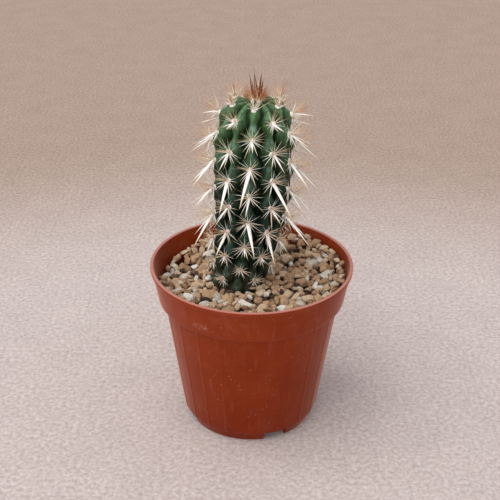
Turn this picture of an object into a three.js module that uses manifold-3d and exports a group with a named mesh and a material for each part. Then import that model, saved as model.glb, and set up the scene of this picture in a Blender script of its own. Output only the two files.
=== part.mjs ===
// A young columnar cactus in a terracotta-coloured plastic nursery pot, top-dressed with loose gravel.
// Millimetres, +Z up. The origin is the centre of the circle that the pot's foot stands on.
// Angles go round +Z from the front (-Y), positive towards the right (+X).
import * as THREE from 'three';
import { mergeVertices } from 'three/addons/utils/BufferGeometryUtils.js';
import Module from 'manifold-3d';

const wasm = await Module();
wasm.setup();

const clearance = 0.3; // air left between pieces that lie in or on one another

// Pot: one injection-moulded shell with a fluted wall, a smooth collar and a rolled lip.
const potHeight = 72;
const rimRadius = 42.5; // outside of the lip
const lipHeight = 1.8;
const lipOverhang = 1.3; // how far the lip stands out from the collar
const lipRounding = 0.5;
const collarHeight = 14.8; // from the collar's lower edge to the top of the pot
const collarTaper = 1.9; // radius lost from the lip down to the collar's lower edge
const collarStep = 2.2; // how far the collar stands out from the wall below it
const wallThickness = 1;
const footRadius = 27.2;
const footHeight = 4;
const footTaper = 1.3; // radius gained from the ground to the top of the foot
const footStep = 0.95; // how far the wall stands out from the foot
const footWidth = 1.6; // width of the ring that touches the ground
const footDraft = 0.2; // lean of the foot's inner side
const floorRise = 3.8; // from the ground to the underside of the floor
const floorThickness = 1.2;
const fluteCount = 22;
const fluteDepth = 0.2;
const sidesPerFlute = 3;
const footNotchCount = 4;
const footNotchWidth = 9.9;
const footNotchHeight = 3.4;
const footNotchAngle = 23;
const drainHoleCount = 8;
const drainHoleRadius = 1.9;
const drainCircleRadius = 20.5;

// Potting mix: fills the pot to a surface that slopes up to the right and the back.
const headspace = 11.5; // from the rim down to the middle of the surface
const slopeRight = 0.07;
const slopeBack = 0.03;

// Stem: ribbed, slightly leaning, with its foot left of and behind the middle of the pot.
const stemHeight = 81; // above the mix
const stemRadius = 15.8; // over the ribs at the widest place
const buriedDepth = 24;
const ribCount = 12;
const ribDepth = 3;
const ribTurn = -4; // angle of the front rib
const stemFootShift = -6;
const stemCrownShift = 1.2;
const stemBack = 3;
const uprightFrom = 0.56; // share of the stem's height where it has become upright
const footBend = 1.5; // powers that shape the lean below and above that place
const crownBend = 2;
// The stem's outline over its ribs: shares of its radius and of its height above the mix, or of its
// buried depth, from the growing point down.
const stemOutline = [
  [0, 0.994], [0.35, 1.003], [0.66, 0.985], [0.82, 0.92], [0.95, 0.82], [1, 0.65],
  [0.97, 0.46], [0.8, 0.16], [0.7, 0], [0.58, -0.35], [0.3, -0.8], [0, -1],
];
const sidesPerRib = 4;
const flankAllowance = 2; // growth round the ribs that leaves one clearance beside their steep flanks

// Areoles: wool pads that carry the spines, half a pitch apart on neighbouring ribs.
const areolePitch = 11.5;
const firstAreole = 4.25; // from the growing point, along a rib
const padHeight = 0.8; // how far an areole stands out from its rib
const daggerLength = 11.5;
const daggerWidth = 1.5;
const daggerDroop = 45; // degrees below the rib's outward direction once grown
const radialLength = 6.5;
const radialWidth = 0.7;
const radialRise = 28; // degrees that the star spines stand off the skin
const radialAngles = [62, 298]; // round the areole, from the way up the rib
const youngRise = 70; // the same beside the growing point
const youngReach = 22; // distance from the growing point over which spines turn from upright to drooping

// Granules: the larger loose stones of the top dressing.
const granuleLength = 7; // the longest one
const granuleWidthShare = 0.84;
const granuleHeightShare = 0.62;
const smallestShare = 0.8;
const stemMargin = 1.3; // room kept round the foot of the stem
const clayCount = 32;
const spreadRounds = 400; // rounds of pushing apart until the granules lie evenly
const spreadPush = 0.3;
const spreadReach = 3; // granule lengths within which one pushes another
const spreadFalloff = 4; // power by which the push fades with distance
// Pumice: [angle round the stem, share of the way from the stem to the wall] of each.
const pumicePlaces = [
  [-98, 0.66], [-69, 0.97], [-55, 0.6], [-31, 0.53], [10, 0.25], [36, 0.7],
  [47, 0.86], [70, 0.89], [88, 0.97], [104, 0.83], [150, 0.7], [-150, 0.8],
];

const degrees = Math.PI / 180;
const goldenTurn = 137.508; // a turn, in degrees, that never repeats a direction
const goldenShare = 0.618; // a step round 0 to 1 that never repeats a value

const material = (color, roughness) => new THREE.MeshStandardMaterial({ color, roughness, metalness: 0 });
const potPlastic = material(0x9c4630, 0.5);
const mixGrit = material(0x7d654a, 0.95);
const cactusSkin = material(0x2f4f3c, 0.5);
const bakedClay = material(0xa98c6a, 0.95);
const pumiceStone = material(0xd8cdb8, 0.9);

// A direction in the ground plane at an angle from the front.
function heading(angle) {
  return new THREE.Vector3(Math.sin(angle * degrees), -Math.cos(angle * degrees), 0);
}

// Turn a profile of [radius, height] points round +Z, starting at an angle.
function turned(profile, sides, startAngle = 0) {
  const points = profile.map(([radius, height]) => new THREE.Vector2(radius, height));
  return new THREE.LatheGeometry(points, sides, startAngle * degrees).rotateX(90 * degrees);
}

// Closed geometry to solid, and back.
function solid(geometry) {
  const bare = geometry.clone();
  bare.deleteAttribute('normal');
  bare.deleteAttribute('uv');
  const merged = mergeVertices(bare, 1e-4);
  return new wasm.Manifold(new wasm.Mesh({
    numProp: 3,
    vertProperties: new Float32Array(merged.attributes.position.array),
    triVerts: new Uint32Array(merged.index.array),
  }));
}

function geometryOf(body) {
  const { vertProperties, triVerts } = body.getMesh();
  const geometry = new THREE.BufferGeometry();
  geometry.setAttribute('position', new THREE.BufferAttribute(vertProperties, 3));
  geometry.setIndex(new THREE.BufferAttribute(triVerts, 1));
  return geometry;
}

const group = new THREE.Group();

function place(name, geometry, finish) {
  const mesh = new THREE.Mesh(geometry, finish);
  mesh.name = name;
  group.add(mesh);
}

// ---------- Pot ----------

const collarTopRadius = rimRadius - lipOverhang;
const collarBaseRadius = collarTopRadius - collarTaper;
const collarBase = potHeight - collarHeight;
const wallTopRadius = collarBaseRadius - collarStep;
const footTopRadius = footRadius + footTaper;
const wallBase = footHeight + footStep / 2;
const wallBaseRadius = footTopRadius + footStep;
const floorTop = floorRise + floorThickness;

// The inside of the pot, from the floor to the mouth, moved inwards by a gap.
function potInside(gap) {
  const wallSlope = (wallTopRadius - wallBaseRadius) / (collarBase - wallBase);
  const floorRadius = wallBaseRadius + wallSlope * (floorTop - wallBase) - wallThickness;
  const shoulder = collarBase + wallThickness + gap;
  return [
    [0, floorTop + gap],
    [floorRadius - gap, floorTop + gap],
    [wallTopRadius - wallThickness - gap, shoulder - lipRounding / 2],
    [collarBaseRadius - wallThickness - gap, shoulder],
    [collarTopRadius - wallThickness - gap, potHeight - lipRounding],
  ];
}

function potOutside() {
  return [
    [0, floorRise],
    [footRadius - footWidth + footDraft, floorRise],
    [footRadius - footWidth, 0],
    [footRadius, 0],
    [footTopRadius, footHeight],
    [wallBaseRadius, wallBase],
    [wallTopRadius, collarBase - lipRounding / 2],
    [collarBaseRadius, collarBase],
    [collarTopRadius, potHeight - lipHeight],
    [rimRadius, potHeight - lipHeight + lipRounding],
    [rimRadius, potHeight - lipRounding],
    [rimRadius - lipRounding, potHeight],
    [collarTopRadius - wallThickness + lipRounding, potHeight],
  ];
}

// Draw the outer wall in between the ridges of the flutes.
function cutFlutes(shell, profile) {
  const sides = fluteCount * sidesPerFlute;
  profile.forEach(([radius], row) => {
    if (radius !== wallBaseRadius && radius !== wallTopRadius) return;
    for (let side = 0; side <= sides; side += 1) {
      if (side % sidesPerFlute === 0) continue;
      const point = heading((side * 360) / sides).multiplyScalar(radius - fluteDepth);
      const index = side * profile.length + row;
      shell.attributes.position.setXY(index, point.x, point.y);
    }
  });
  return shell;
}

function footNotch(index) {
  const depth = 2 * (footWidth + footTaper);
  const notch = new THREE.BoxGeometry(footNotchWidth, depth, 2 * footNotchHeight);
  notch.translate(0, -footRadius, 0);
  return solid(notch.rotateZ((footNotchAngle + (index * 360) / footNotchCount) * degrees));
}

function drainHole(index) {
  const hole = new THREE.CylinderGeometry(drainHoleRadius, drainHoleRadius, 4 * floorThickness, 12);
  const centre = heading((index * 360) / drainHoleCount).multiplyScalar(drainCircleRadius);
  return solid(hole.rotateX(90 * degrees).translate(centre.x, centre.y, floorRise));
}

function pot() {
  const profile = [...potOutside(), ...potInside(0).reverse()];
  let body = solid(cutFlutes(turned(profile, fluteCount * sidesPerFlute), profile));
  for (let i = 0; i < footNotchCount; i += 1) body = body.subtract(footNotch(i));
  for (let i = 0; i < drainHoleCount; i += 1) body = body.subtract(drainHole(i));
  return geometryOf(body);
}

// ---------- Stem and spines ----------

const mixHeight = potHeight - headspace;
const stemTop = mixHeight + stemHeight;

const surfaceNormal = new THREE.Vector3(-slopeRight, -slopeBack, 1).normalize();

function mixTopAt(x, y) {
  return mixHeight + slopeRight * x + slopeBack * y;
}

// Rows half an areole pitch apart along the outline over the ribs, from the growing point down:
// the radius and height of each, and the way out of the skin there.
function ribRows() {
  const points = stemOutline.map(([radius, height]) => {
    const reach = height < 0 ? buriedDepth : stemHeight;
    return new THREE.Vector2(radius * stemRadius, mixHeight + height * reach);
  });
  const curve = new THREE.SplineCurve(points);
  const length = curve.getLength();
  const rows = [{ radius: 0, height: points[0].y, out: new THREE.Vector2(0, 1) }];
  for (let distance = firstAreole; distance < length - firstAreole; distance += areolePitch / 2) {
    const point = curve.getPointAt(distance / length);
    const down = curve.getTangentAt(distance / length);
    rows.push({ radius: point.x, height: point.y, out: new THREE.Vector2(-down.y, down.x) });
  }
  rows.push({ radius: 0, height: points[points.length - 1].y, out: new THREE.Vector2(0, -1) });
  return rows;
}

// Areoles stand on every other row of each rib, as far down as the granules leave room.
function hasAreole(rows, rib, row) {
  const lowest = mixHeight + granuleLength * granuleHeightShare + padHeight;
  return row > 0 && (rib + row) % 2 === 0 && rows[row].height > lowest;
}

// Where the middle of the stem stands at a height.
function stemAxisAt(height) {
  const rise = (height - mixHeight) / stemHeight;
  const toUpright = Math.min(Math.max(1 - rise / uprightFrom, 0), 1);
  const pastUpright = Math.max(rise - uprightFrom, 0) / (1 - uprightFrom);
  const right = stemFootShift * toUpright ** footBend + stemCrownShift * pastUpright ** crownBend;
  return new THREE.Vector3(right, stemBack, 0);
}

// The ribbed stem, drawn in to furrows between the ribs and raised at the areoles, grown by a gap.
function stem(rows, gap) {
  const upward = [...rows].reverse();
  const sides = ribCount * sidesPerRib;
  const body = turned(upward.map(({ radius, height }) => [radius, height]), sides, ribTurn);
  for (let side = 0; side <= sides; side += 1) {
    const way = heading(ribTurn + (side * 360) / sides);
    const furrow = (1 - Math.cos((2 * Math.PI * side) / sidesPerRib)) / 2;
    upward.forEach(({ radius, height, out }, level) => {
      const row = rows.length - 1 - level;
      const onAreole = side % sidesPerRib === 0 && hasAreole(rows, side / sidesPerRib, row);
      const raised = onAreole ? padHeight : 0;
      const depth = (furrow * ribDepth * radius) / stemRadius;
      const reach = radius > 0 ? radius - depth + raised * out.x + gap : 0;
      const point = way.clone().multiplyScalar(reach).add(stemAxisAt(height));
      point.z = height + raised * out.y + (radius > 0 ? 0 : gap * out.y);
      body.attributes.position.setXYZ(side * upward.length + level, point.x, point.y, point.z);
    });
  }
  return body;
}

// The place of an areole, with the way out of the skin, the way up the rib and the way across it.
function areolePlace(rows, rib, row) {
  const { radius, height, out } = rows[row];
  const side = heading(ribTurn + (rib * 360) / ribCount);
  const outward = side.clone().multiplyScalar(out.x).setZ(out.y);
  const up = side.clone().multiplyScalar(-out.y).setZ(out.x);
  const base = side.clone().multiplyScalar(radius).add(stemAxisAt(height)).setZ(height);
  base.addScaledVector(outward, padHeight / 2);
  return { base, out: outward, up, across: up.clone().cross(outward) };
}

// A spine is a slim three-sided cone that stops short of the granules.
function spine(base, direction, length, width) {
  const reach = clearLength(base, direction, length);
  const cone = new THREE.ConeGeometry(width / 2, reach, 3).translate(0, reach / 2, 0);
  cone.applyQuaternion(new THREE.Quaternion().setFromUnitVectors(new THREE.Vector3(0, 1, 0), direction));
  return solid(cone.translate(base.x, base.y, base.z));
}

// The length that keeps a spine's tip above the granules.
function clearLength(base, direction, length) {
  const tip = base.clone().addScaledVector(direction, length);
  const floor = mixTopAt(tip.x, tip.y) + granuleLength * granuleHeightShare + 2 * clearance;
  if (tip.z >= floor) return length;
  return Math.max((length * (base.z - floor)) / (base.z - tip.z), 2 * padHeight);
}

// The spines of one areole: a dagger-like central one and a few of the star round it.
// They stand upright near the growing point, and lower and flatter the older they are.
function areoleSpines(place, row) {
  const grown = Math.min((row * areolePitch) / 2 / youngReach, 1);
  const droop = daggerDroop * grown * degrees;
  const rise = (youngRise + (radialRise - youngRise) * grown) * degrees;
  const dagger = place.out.clone().multiplyScalar(Math.cos(droop)).addScaledVector(place.up, -Math.sin(droop));
  const spines = [spine(place.base, dagger, daggerLength, daggerWidth)];
  for (const angle of radialAngles) {
    const star = place.up.clone().multiplyScalar(Math.cos(angle * degrees));
    star.addScaledVector(place.across, Math.sin(angle * degrees));
    star.multiplyScalar(Math.cos(rise)).addScaledVector(place.out, Math.sin(rise));
    spines.push(spine(place.base, star, radialLength, radialWidth));
  }
  return spines;
}

function cactus(rows) {
  const pieces = [solid(stem(rows, 0))];
  for (let rib = 0; rib < ribCount; rib += 1) {
    for (let row = 0; row < rows.length; row += 1) {
      if (hasAreole(rows, rib, row)) pieces.push(...areoleSpines(areolePlace(rows, rib, row), row));
    }
  }
  return geometryOf(wasm.Manifold.union(pieces));
}

// ---------- Potting mix ----------

// The pot's inside up to the sloping surface, with a socket for the buried end of the stem.
function pottingMix(rows) {
  const inside = potInside(clearance);
  const mouth = inside[inside.length - 1][1];
  const fill = solid(turned([...inside, [0, mouth]], fluteCount * 2));
  const above = new THREE.BoxGeometry(4 * rimRadius, 4 * rimRadius, 2 * potHeight).translate(0, 0, potHeight);
  above.applyQuaternion(new THREE.Quaternion().setFromUnitVectors(new THREE.Vector3(0, 0, 1), surfaceNormal));
  above.translate(0, 0, mixHeight);
  const socket = solid(stem(rows, flankAllowance * clearance));
  return geometryOf(fill.subtract(solid(above)).subtract(socket));
}

// ---------- Granules ----------

const stemFoot = new THREE.Vector2(stemFootShift, stemBack);

// The inner radius of the pot at a height.
function potRadiusAt(height) {
  const wall = potInside(0);
  const upper = wall.findIndex((point) => point[1] > height);
  const [[lowRadius, lowHeight], [highRadius, highHeight]] = [wall[upper - 1], wall[upper]];
  return lowRadius + ((highRadius - lowRadius) * (height - lowHeight)) / (highHeight - lowHeight);
}

// The nearest that a granule's middle comes to the stem's foot, and the furthest from the pot's axis.
function granuleRoom(rows) {
  const half = granuleLength / 2 + clearance;
  const footRows = rows.filter(({ height }) => height < mixHeight + granuleLength);
  const inner = Math.max(...footRows.map(({ radius }) => radius)) + stemMargin + half;
  const lowestEdge = mixHeight - Math.hypot(slopeRight, slopeBack) * collarBaseRadius;
  const outer = Math.min(potRadiusAt(lowestEdge), collarBaseRadius - wallThickness) - half;
  return { inner, outer };
}

// The point at an angle round the stem, at a share of the way from it to the wall.
function placeBetween(room, angle, share) {
  const way = heading(angle);
  const along = stemFoot.x * way.x + stemFoot.y * way.y;
  const toWall = Math.sqrt(along ** 2 + room.outer ** 2 - stemFoot.lengthSq()) - along;
  const reach = room.inner + share * (toWall - room.inner);
  return new THREE.Vector2(stemFoot.x + way.x * reach, stemFoot.y + way.y * reach);
}

const granuleSize = (index) => granuleLength * (smallestShare + (1 - smallestShare) * ((index * goldenShare) % 1));

// Keep a point in the ring between the stem and the wall.
function keepInRoom(point, room) {
  const fromStem = point.clone().sub(stemFoot);
  if (fromStem.length() < room.inner) point.copy(stemFoot).addScaledVector(fromStem.normalize(), room.inner);
  if (point.length() > room.outer) point.setLength(room.outer);
}

// Spread the clay granules evenly round the chosen pumice: each is pushed away from all near it.
function spreadEvenly(clay, all, room) {
  const away = new THREE.Vector2();
  for (let round = 0; round < spreadRounds; round += 1) {
    for (const point of clay) {
      const push = new THREE.Vector2();
      for (const other of all) {
        const gap = point.distanceTo(other);
        if (other === point || gap > spreadReach * granuleLength) continue;
        push.addScaledVector(away.subVectors(point, other), (granuleLength / gap) ** spreadFalloff / gap);
      }
      point.addScaledVector(push, spreadPush);
      keepInRoom(point, room);
    }
  }
}

// Move apart any two granules that would touch.
function separate(all, room) {
  const away = new THREE.Vector2();
  for (let round = 0; round < spreadRounds; round += 1) {
    all.forEach((point, i) => {
      for (let j = 0; j < i; j += 1) {
        const least = (granuleSize(i) + granuleSize(j)) / 2 + clearance;
        const gap = point.distanceTo(all[j]);
        if (gap >= least) continue;
        away.subVectors(point, all[j]).setLength((least - gap) / 2);
        keepInRoom(point.add(away), room);
        keepInRoom(all[j].sub(away), room);
      }
    });
  }
}

// A squat convex pebble that rests on the mix. The index sizes, tumbles and turns each one differently.
function granule(place, index) {
  const half = granuleSize(index) / 2;
  const body = index % 2 === 0 ? new THREE.IcosahedronGeometry(half) : new THREE.DodecahedronGeometry(half);
  body.rotateX(index).scale(1, granuleWidthShare, granuleHeightShare);
  body.rotateZ(index * goldenTurn * degrees);
  body.computeBoundingBox();
  body.translate(0, 0, clearance - body.boundingBox.min.z);
  body.applyQuaternion(new THREE.Quaternion().setFromUnitVectors(new THREE.Vector3(0, 0, 1), surfaceNormal));
  return body.translate(place.x, place.y, mixTopAt(place.x, place.y));
}

// ---------- Assembly ----------

const rows = ribRows();
place('pot', pot(), potPlastic);
place('potting_mix', pottingMix(rows), mixGrit);
place('cactus', cactus(rows), cactusSkin);

const room = granuleRoom(rows);
const pumice = pumicePlaces.map(([angle, share]) => placeBetween(room, angle, share));
const clay = Array.from({ length: clayCount }, (_, i) => (
  placeBetween(room, i * goldenTurn, Math.sqrt((i + 0.5) / clayCount))
));
const stones = [...pumice, ...clay];
spreadEvenly(clay, stones, room);
separate(stones, room);
stones.forEach((point, i) => {
  const isPumice = i < pumice.length;
  const number = String(isPumice ? i + 1 : i + 1 - pumice.length).padStart(2, '0');
  const name = `${isPumice ? 'pumice' : 'clay_granule'}_${number}`;
  place(name, granule(point, i), isPumice ? pumiceStone : bakedClay);
});

export default group;
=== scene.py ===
# %% [markdown]
# # A young columnar cactus in a nursery pot
# The plant stands eight centimetres out of the commonest pot that there is: a thin moulded plastic one,
# 85 mm across. On top lies loose gravel of baked clay and pumice. The lesson makes each thing as a surface
# worked out with numpy, from the outside in: pot, gravel, stem, wool and spines.

import bpy
import bmesh
import numpy as np
from mathutils import Matrix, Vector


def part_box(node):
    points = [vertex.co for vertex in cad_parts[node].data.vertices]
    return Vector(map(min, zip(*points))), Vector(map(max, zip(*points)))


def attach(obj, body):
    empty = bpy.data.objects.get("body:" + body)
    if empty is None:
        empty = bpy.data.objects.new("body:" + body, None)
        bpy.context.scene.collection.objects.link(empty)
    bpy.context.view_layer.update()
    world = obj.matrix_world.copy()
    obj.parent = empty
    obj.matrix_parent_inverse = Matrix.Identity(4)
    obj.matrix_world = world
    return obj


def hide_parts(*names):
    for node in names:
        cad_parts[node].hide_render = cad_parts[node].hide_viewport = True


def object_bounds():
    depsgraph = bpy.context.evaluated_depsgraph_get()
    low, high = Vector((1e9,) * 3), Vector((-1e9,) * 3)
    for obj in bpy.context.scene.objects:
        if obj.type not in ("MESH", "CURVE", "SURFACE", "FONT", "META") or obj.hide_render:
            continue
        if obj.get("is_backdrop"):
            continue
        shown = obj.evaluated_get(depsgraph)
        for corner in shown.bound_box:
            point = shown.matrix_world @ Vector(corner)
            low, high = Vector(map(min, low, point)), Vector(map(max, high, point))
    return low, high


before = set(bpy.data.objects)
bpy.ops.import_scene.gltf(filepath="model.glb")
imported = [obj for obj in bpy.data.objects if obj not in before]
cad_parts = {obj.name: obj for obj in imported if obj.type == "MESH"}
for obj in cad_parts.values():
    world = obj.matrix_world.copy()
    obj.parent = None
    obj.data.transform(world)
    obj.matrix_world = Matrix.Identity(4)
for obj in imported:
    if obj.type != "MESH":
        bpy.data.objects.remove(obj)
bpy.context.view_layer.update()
MM = 0.001
draw = np.random.default_rng(41)


# %% [markdown]
# ## Helpers for meshes
# A surface here is a grid of points, row by row. Neighbouring points make a four-sided face, and as the
# last column joins the first, every grid is a tube. Putting whole arrays into the mesh is many times quicker
# than adding vertices one by one, and it keeps the formula of each shape in sight.

# %% Faces of a grid, and a mesh from arrays
def grid_faces(rows, columns):
    """Numbers the four corners of each face of a grid whose points are counted row by row, and whose last
    column joins the first."""
    row, column = np.meshgrid(np.arange(rows - 1), np.arange(columns), indexing="ij")
    here, beside = row * columns + column, row * columns + (column + 1) % columns
    return np.stack([here, beside, beside + columns, here + columns], axis=-1).reshape(-1, 4)


def copied(faces, count, points):
    """The faces of one shape, numbered on for count copies of it that have so many points each."""
    return (faces[None] + (np.arange(count) * points)[:, None, None]).reshape(-1, faces.shape[1])


def enclosed(points, faces):
    """The signed volume inside the faces: the sum over their triangles of p0 . (p1 x p2) / 6. It is negative
    where the faces point inwards."""
    total = 0.0
    for group in faces:
        for k in range(1, group.shape[1] - 1):
            a, b, c = points[group[:, 0]], points[group[:, k]], points[group[:, k + 1]]
            total += np.einsum("ij,ij->", a, np.cross(b, c)) / 6
    return total


def add_piece(name, points, faces, material, values=None, merge=False):
    """Puts points in metres and groups of faces into a new object that rides on the root body. values are
    numbers for each point, by name, and merge closes poles and seams, where points lie on each other."""
    points = np.asarray(points, float).reshape(-1, 3)
    faces = [np.asarray(group) for group in (faces if isinstance(faces, list) else [faces])]
    if enclosed(points, faces) < 0:
        faces = [group[:, ::-1] for group in faces]
    mesh = bpy.data.meshes.new(name)
    mesh.vertices.add(len(points))
    mesh.vertices.foreach_set("co", points.astype(np.float32).ravel())
    corners = np.concatenate([group.ravel() for group in faces])
    sides = np.concatenate([np.full(len(group), group.shape[1]) for group in faces])
    mesh.loops.add(len(corners))
    mesh.loops.foreach_set("vertex_index", corners.astype(np.int32))
    mesh.polygons.add(len(sides))
    mesh.polygons.foreach_set("loop_start", (np.cumsum(sides) - sides).astype(np.int32))
    mesh.update(calc_edges=True)
    for key, numbers in (values or {}).items():
        layer = mesh.attributes.new(key, "FLOAT", "POINT")
        layer.data.foreach_set("value", np.asarray(numbers, np.float32).ravel())
    if merge:
        work = bmesh.new()
        work.from_mesh(mesh)
        bmesh.ops.remove_doubles(work, verts=work.verts, dist=1e-7)
        work.to_mesh(mesh)
        work.free()
    mesh.shade_smooth()
    mesh.materials.append(material)
    piece = bpy.data.objects.new(name, mesh)
    bpy.context.collection.objects.link(piece)
    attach(piece, "root")
    print(name, "has", len(mesh.polygons), "faces")
    return piece


# %% [markdown]
# ## Helpers for materials
# Colours are noted as sRGB hex codes, as a paint chart would give them, and turned to linear light once.
# A material is a small net of nodes; one function adds any kind of node, sets its sockets and links it.
# Gravel and spines share a run over three colours.

# %% Hex colours and nodes
RGBA = {"data_type": "RGBA"}
SMOOTH = {"interpolation_type": "SMOOTHSTEP"}


def linear(code):
    """Turns an sRGB hex code into linear red, green and blue with alpha 1: a channel up to 0.04045 is divided
    by 12.92, and a brighter one is ((c + 0.055) / 1.055) to the power 2.4."""
    channels = np.array([int(code[i:i + 2], 16) for i in (1, 3, 5)]) / 255
    light = np.where(channels <= 0.04045, channels / 12.92, ((channels + 0.055) / 1.055) ** 2.4)
    return (*light.tolist(), 1.0)


def add_node(tree, kind, settings=None, inputs=None):
    """Adds a shader node; Mix, for one, is the kind ShaderNodeMix. inputs goes by socket identifier: a node,
    or a pair of a node and the name of its output, is linked to the socket, and anything else is set as its
    value."""
    made = tree.nodes.new("ShaderNode" + kind)
    for key, value in (settings or {}).items():
        setattr(made, key, value)
    sockets = {socket.identifier: socket for socket in made.inputs}
    for key, value in (inputs or {}).items():
        paired = isinstance(value, tuple) and isinstance(value[0], bpy.types.Node)
        source, wanted = value if paired else (value, None)
        if isinstance(source, bpy.types.Node):
            output = next(s for s in source.outputs if s.enabled and wanted in (None, s.name))
            tree.links.new(output, sockets[key])
        else:
            sockets[key].default_value = source
    return made


def new_material(name):
    """An empty material and its tree, with Object coordinates as its first node."""
    made = bpy.data.materials.new(name)
    made.use_nodes = True
    made.node_tree.nodes.clear()
    place = add_node(made.node_tree, "TexCoord")
    return made, made.node_tree, (place, "Object")


def three_colours(tree, share, root, middle, tip, turning):
    """A colour that runs from root over middle, which it reaches at the share called turning, to tip."""
    low = add_node(tree, "MapRange", {}, {"Value": share, "From Max": turning})
    high = add_node(tree, "MapRange", {}, {"Value": share, "From Min": turning})
    first = add_node(tree, "Mix", RGBA, {
        "Factor_Float": low, "A_Color": linear(root), "B_Color": linear(middle)})
    return add_node(tree, "Mix", RGBA, {"Factor_Float": high, "A_Color": first, "B_Color": linear(tip)})


# %% [markdown]
# ## The camera
# It looks down at the pot by 27.5 degrees from 46 cm away, as a person does who leans over a table. The
# lens is a short telephoto, so the rim stays a calm ellipse. It comes first because the later cells are
# judged through it.

# %% Place the camera
PITCH, ROLL = np.radians(27.546), np.radians(0.616)
CAMERA_AT = np.array([-0.756, -369.286, 270.051]) * MM


def placed(across, upright, back, where=(0, 0, 0)):
    """The matrix that puts a thing at a place, with its own x, y and z along three directions."""
    matrix = np.eye(4)
    matrix[:3, :3] = np.stack([across, upright, back], axis=1)
    matrix[:3, 3] = where
    return Matrix(matrix.tolist())


level, upright = np.array([1.0, 0, 0]), np.array([0, np.sin(PITCH), np.cos(PITCH)])
back = np.array([0, -np.cos(PITCH), np.sin(PITCH)])
camera_data = bpy.data.cameras.new("camera")
camera_data.lens = 72
camera_data.sensor_width = 36
camera = bpy.data.objects.new("camera", camera_data)
camera.matrix_world = placed(np.cos(ROLL) * level + np.sin(ROLL) * upright,
                             -np.sin(ROLL) * level + np.cos(ROLL) * upright, back, CAMERA_AT)
bpy.context.collection.objects.link(camera)
bpy.context.scene.camera = camera
bpy.context.scene.view_settings.view_transform = "Standard"
print("Camera", round(float(np.linalg.norm(CAMERA_AT)), 3), "m from the foot of the pot")


# %% [markdown]
# ## The pot's outline
# A nursery pot is drawn as half of its cross-section: under the floor, round the foot ring, up the wall,
# over the collar and the rolled lip, and down the inside. A mould has no sharp edges, so each corner is
# cut by a small curve. Every length below is in millimetres, and the height and the rim come from the
# pot's own box.

# %% Key sizes of the pot
pot_low, pot_high = (np.array(corner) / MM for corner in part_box("pot"))
POT_HEIGHT = pot_high[2]
RIM = (pot_high[1] - pot_low[1]) / 2
WALL = 0.6
LIP, COLLAR = 1.8, 14.8
COLLAR_TOP = RIM - 0.9
COLLAR_FOOT = RIM - 3.2
BODY_TOP = COLLAR_FOOT - 2.2
FOOT = 27.2
FOOT_TOP = FOOT + 1.3
FOOT_HEIGHT = 4.0
BODY_FOOT = FOOT_TOP + 0.95
SHELF = POT_HEIGHT - COLLAR
FLOOR_UNDER, FLOOR_TOP = 3.8, 5.0
FLUTES = 22
FLUTE_TURN = -3.5
RIDGE = 0.2
NOTCHES, NOTCH_WIDTH, NOTCH_HEIGHT, NOTCH_TURN = 4, 9.9, 3.4, 23.0

# Each corner: radius, height, and the length that its curve cuts from both sides.
pot_corners = np.array([
    (0, FLOOR_UNDER, 0), (25.8, FLOOR_UNDER, 0.5), (25.6, 0, 0.35), (FOOT, 0, 0.45),
    (FOOT_TOP, FOOT_HEIGHT, 0.2), (BODY_FOOT, FOOT_HEIGHT + 0.48, 0.45),
    (BODY_TOP, SHELF - 0.25, 0.3), (COLLAR_FOOT, SHELF, 0.5),
    (COLLAR_TOP, POT_HEIGHT - LIP, 0.3), (RIM - 0.15, POT_HEIGHT - LIP + 0.1, 0.35), (RIM, POT_HEIGHT, 0.45),
    (COLLAR_TOP - WALL, POT_HEIGHT, 0.4),
    (COLLAR_FOOT - WALL, SHELF + WALL, 0.8), (BODY_TOP - WALL, SHELF + WALL - 0.25, 0.8),
    (BODY_FOOT - WALL, FLOOR_TOP, 1.5), (0, FLOOR_TOP, 0),
])
print("The pot is", round(POT_HEIGHT, 1), "mm high and", round(2 * RIM, 1), "mm across its rim")


# %% Round the corners of an outline
def rounded(corners, step, arc_steps=5):
    """Replaces each corner P by the curve (1-t)^2 A + 2t(1-t) P + t^2 B between points A and B that lie the
    cut length before and after it, and splits the straight stretches into steps of about one length."""
    spots = [corners[0, :2]]
    t = np.linspace(0, 1, arc_steps)[:, None]
    for before, corner, after in zip(corners[:-2], corners[1:-1], corners[2:]):
        way_in = (before[:2] - corner[:2]) / np.linalg.norm(before[:2] - corner[:2])
        way_out = (after[:2] - corner[:2]) / np.linalg.norm(after[:2] - corner[:2])
        start, end = corner[:2] + way_in * corner[2], corner[:2] + way_out * corner[2]
        spots.extend((1 - t) ** 2 * start + 2 * t * (1 - t) * corner[:2] + t ** 2 * end)
    spots.append(corners[-1, :2])
    line = [spots[0][None]]
    for a, b in zip(spots[:-1], spots[1:]):
        pieces = max(int(np.linalg.norm(b - a) / step), 1)
        line.append(a + (b - a) * (np.arange(1, pieces + 1) / pieces)[:, None])
    return np.concatenate(line)


pot_outline = rounded(pot_corners, step=2.2)
print("The outline has", len(pot_outline), "points")

# %% [markdown]
# ## The pot's wall
# The wall is the outline turned round the axis, with two things that depend on the angle. Twenty-two fine
# ridges run down the body, where the mould's panels meet: they are cusps, so their columns lie closer
# together there. And the foot ring has four notches for the water: a point inside a notch is raised to
# its ceiling, with a pair of columns at each edge, so that its corners stay crisp.


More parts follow.
